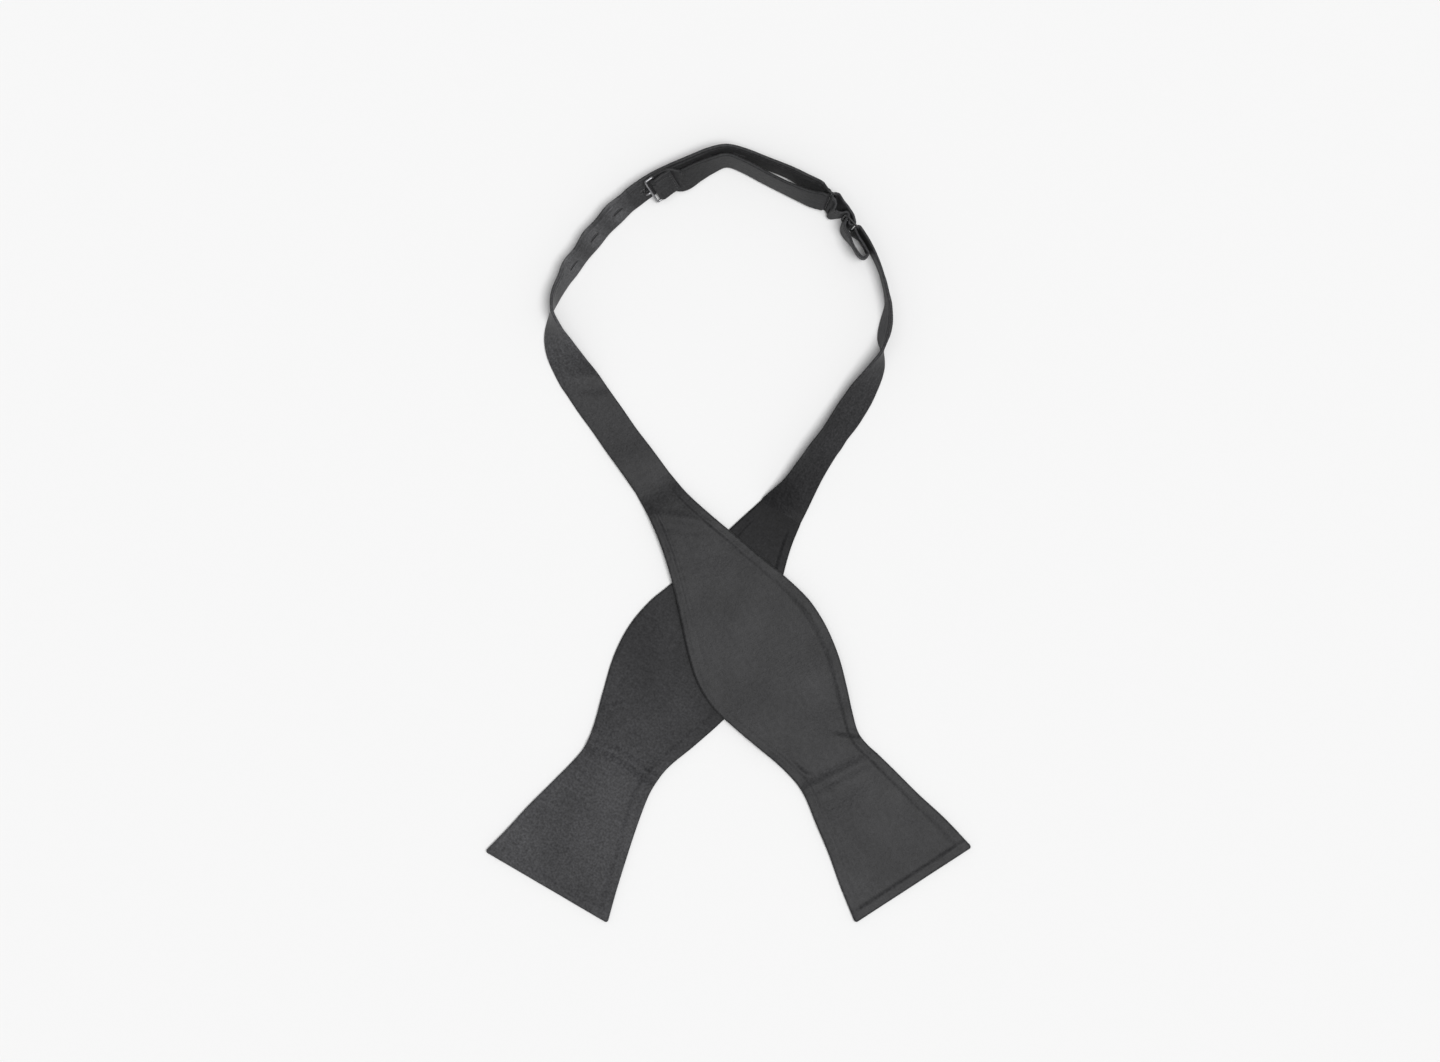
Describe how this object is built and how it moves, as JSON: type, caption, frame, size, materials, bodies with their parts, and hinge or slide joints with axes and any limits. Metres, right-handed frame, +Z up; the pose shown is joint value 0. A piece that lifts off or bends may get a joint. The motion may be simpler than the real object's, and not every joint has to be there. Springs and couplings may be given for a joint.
{
  "type": "self-tie bow tie",
  "caption": "Untied butterfly bow tie in black satin, with crossed blades and an adjustable neckband with hook, ring and slider",
  "frame": {"origin": "middle of the laid-out tie, on the surface it lies on", "axes": "+Y from the blade tips towards the top of the neck loop, +Z up from the surface, +X to the right seen from above"},
  "size_m": [0.2338, 0.373, 0.0184],
  "materials": {
    "blade_satin": "black satin weave with a soft sheen, pressed seams along the edges",
    "band_satin": "black satin weave folded into a narrow band",
    "interlining": "plain woven canvas interlining, hidden inside",
    "thread": "black sewing thread",
    "hook_metal": "grey steel wire",
    "dark_hardware": "black enamelled wire"
  },
  "bodies": {
    "tie": {"front_belly_face_panel": "blade_satin", "front_belly_back_panel": "blade_satin", "front_belly_interlining": "interlining", "rear_belly_face_panel": "blade_satin", "rear_belly_back_panel": "blade_satin", "rear_belly_interlining": "interlining", "slotted_band_cover": "band_satin", "slotted_band_interlining": "interlining", "buttonhole_rim_1": "thread", "buttonhole_rim_2": "thread", "buttonhole_rim_3": "thread", "buttonhole_rim_4": "thread", "buttonhole_rim_5": "thread", "buttonhole_rim_6": "thread", "buttonhole_rim_7": "thread", "slider_band_cover": "band_satin", "slider_band_interlining": "interlining", "adjuster_strap": "band_satin", "hook_end_tack": "thread"},
    "front_tip": {"front_tip_face_panel": "blade_satin", "front_tip_back_panel": "blade_satin", "front_tip_interlining": "interlining"},
    "rear_tip": {"rear_tip_face_panel": "blade_satin", "rear_tip_back_panel": "blade_satin", "rear_tip_interlining": "interlining"},
    "hook": {"band_hook": "hook_metal"},
    "ring": {"joining_ring": "dark_hardware"},
    "slider": {"three_bar_slider": "dark_hardware", "slider_end_tack": "thread"}
  },
  "joints": [
    {"name": "hook_pivot", "type": "hinge", "parent": "tie", "child": "hook", "pos_m": [-0.03331, 0.16585, 0.00935], "axis": [-0.3613, 0.501, 0.7864], "range_deg": [0, 85]},
    {"name": "ring_swing", "type": "hinge", "parent": "tie", "child": "ring", "pos_m": [0.0455, 0.16042, 0.00871], "axis": [0.1957, 0.4096, 0.891], "range_deg": [-6, 6], "deforming": ["adjuster_strap"]},
    {"name": "slider_travel", "type": "hinge", "parent": "tie", "child": "slider", "pos_m": [0.00532, 0.10221, 0.00001], "axis": [0, 0, -1], "range_deg": [-2, 16], "deforming": ["adjuster_strap"]},
    {"name": "front_tip_fold", "type": "hinge", "parent": "tie", "child": "front_tip", "pos_m": [0.05024, -0.11098, 0.00176], "axis": [-0.8379, -0.5459, 0], "range_deg": [0, 120]},
    {"name": "rear_tip_fold", "type": "hinge", "parent": "tie", "child": "rear_tip", "pos_m": [-0.0523, -0.11103, 0.00176], "axis": [-0.8631, 0.5051, 0], "range_deg": [0, 120]}
  ]
}
